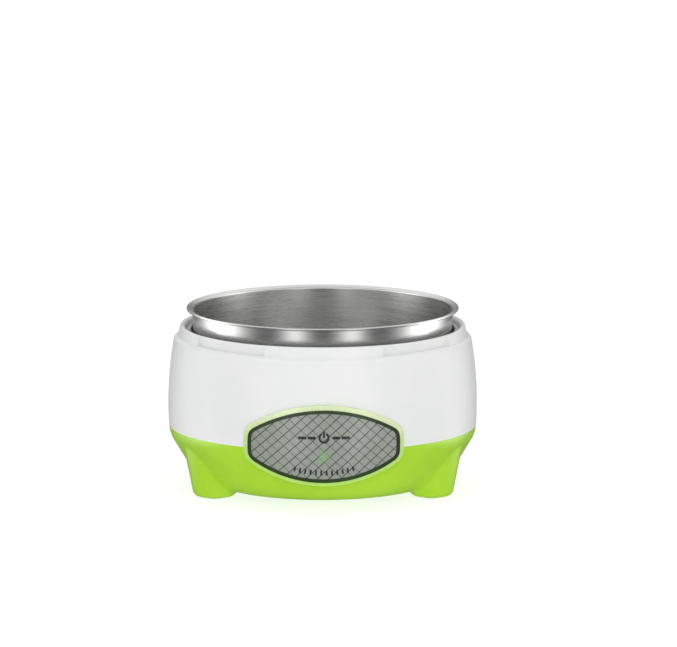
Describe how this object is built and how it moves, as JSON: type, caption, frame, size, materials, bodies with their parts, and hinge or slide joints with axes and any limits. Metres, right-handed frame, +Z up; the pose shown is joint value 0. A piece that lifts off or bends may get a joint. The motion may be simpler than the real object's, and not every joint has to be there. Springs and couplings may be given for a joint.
{
  "type": "yogurt maker",
  "caption": "Round countertop yogurt maker: a footed plastic warming drum with an indicator panel at the front, and a lift-out steel pot that stands in its heated well.",
  "frame": {"origin": "on the drum's vertical axis, at floor level between the feet", "axes": "+Z up out of the pot's mouth, -Y towards the display panel, +Y towards the mains inlet"},
  "size_m": [0.18, 0.1811, 0.107],
  "materials": {
    "white_shell": "glossy white moulded plastic",
    "green_shell": "glossy lime green moulded plastic",
    "bezel": "glossy translucent pale green plastic",
    "trim": "satin dark green plastic",
    "window": "glossy smoke grey plastic with an embossed diamond pattern",
    "backplate": "plain",
    "liner": "plain",
    "pot_steel": "polished, with a fine turned grain",
    "plate": "satin",
    "gasket": "plain silicone",
    "pad": "plain",
    "sleeve": "satin",
    "film": "plain polyimide film",
    "element": "plain",
    "electrode": "plain",
    "spring_steel": "zinc plated",
    "screw": "zinc plated",
    "fuse": "plated can with sealed ends",
    "board": "varnished",
    "lamp": "clear green resin",
    "resistor": "lacquered",
    "diode": "plain",
    "inlet": "satin",
    "pin": "nickel plated",
    "cap": "plain nylon",
    "lead_brown": "plain",
    "lead_blue": "plain",
    "lead_white": "plain"
  },
  "bodies": {
    "housing": {"upper_shell": "white_shell", "base_shell": "green_shell", "foot_pads": "pad", "well_liner": "liner", "heat_plate": "plate", "plate_gasket": "gasket", "ptc_sleeve": "sleeve", "ptc_element": "element", "ptc_electrodes": "electrode", "insulating_film": "film", "ptc_bracket": "spring_steel", "bracket_screws": "screw", "thermal_fuse": "fuse", "fuse_clip": "spring_steel", "clip_screw": "screw", "panel_bezel": "bezel", "window_trim": "trim", "panel_window": "window", "panel_backplate": "backplate", "indicator_board": "board", "board_screws": "screw", "led_lamp": "lamp", "board_resistors": "resistor", "board_diode": "diode", "power_inlet": "inlet", "inlet_pins": "pin", "inlet_screws": "screw", "base_screws": "screw", "liner_screws": "screw", "crimp_caps": "cap", "live_lead": "lead_brown", "neutral_lead": "lead_blue", "fuse_lead": "lead_brown", "heater_leads": "lead_white", "lamp_leads": "lead_white"},
    "pot": {"inner_pot": "pot_steel"}
  },
  "joints": [
    {"name": "pot_lift", "type": "slide", "parent": "housing", "child": "pot", "axis": [0, 0, 1], "range_m": [0, 0.11]}
  ]
}
